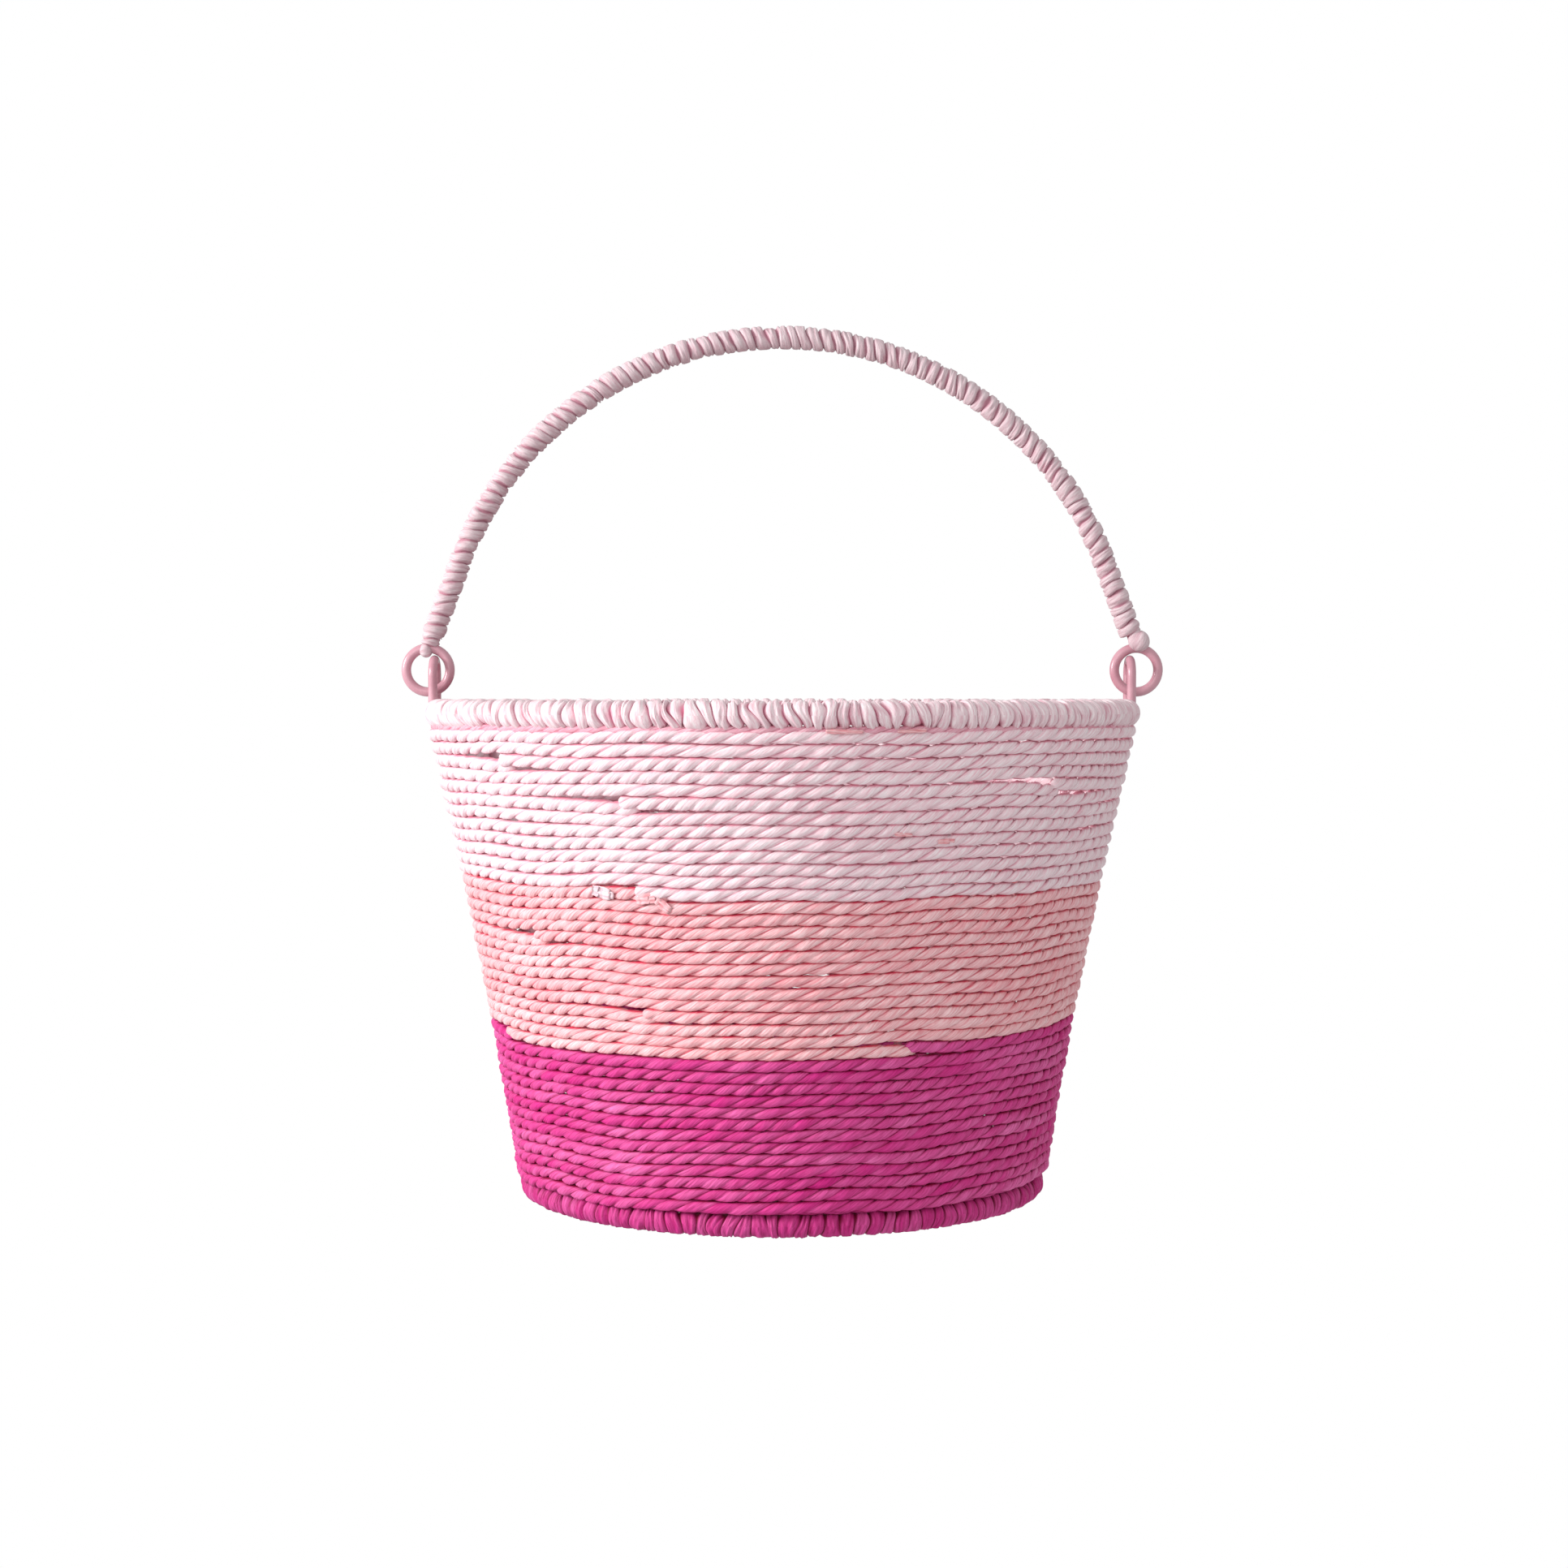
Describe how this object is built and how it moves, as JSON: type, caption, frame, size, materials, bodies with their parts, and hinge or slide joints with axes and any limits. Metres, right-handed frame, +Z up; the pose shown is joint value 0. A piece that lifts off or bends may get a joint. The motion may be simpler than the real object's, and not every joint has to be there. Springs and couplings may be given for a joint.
{
  "type": "easter basket",
  "caption": "Round tapered pail basket of twisted paper rope on a wire frame, with bound rim and base rings and an arched handle that swings on two rim eyelets.",
  "frame": {"origin": "on the ground under the middle of the basket", "axes": "+Z up, X from one handle end to the other, Y across the handle, front on the -Y side"},
  "size_m": [0.2456, 0.2286, 0.2781],
  "materials": {
    "wire": "glossy dusty pink enamel",
    "pale_paper": "twisted paper, pale pink",
    "coral_paper": "twisted paper, coral pink",
    "magenta_paper": "twisted paper, magenta"
  },
  "bodies": {
    "basket": {"base_bar_back": "wire", "base_bar_front": "wire", "base_bar_long": "wire", "base_binding": "magenta_paper", "base_hoop": "wire", "base_rope": "magenta_paper", "left_eyelet": "wire", "lower_rope": "magenta_paper", "middle_rope": "coral_paper", "rib_1": "wire", "rib_2": "wire", "rib_3": "wire", "rib_4": "wire", "rib_5": "wire", "rib_6": "wire", "rib_7": "wire", "rib_8": "wire", "right_eyelet": "wire", "rim_binding": "pale_paper", "rim_hoop": "wire", "upper_rope": "pale_paper"},
    "handle": {"handle_binding": "pale_paper", "handle_wire": "wire", "strip_knot": "pale_paper", "strip_tail": "pale_paper"}
  },
  "joints": [
    {"name": "handle_swing", "type": "hinge", "parent": "basket", "child": "handle", "pos_m": [0, 0, 0.16107], "axis": [1, 0, 0], "range_deg": [-88, 88]}
  ]
}
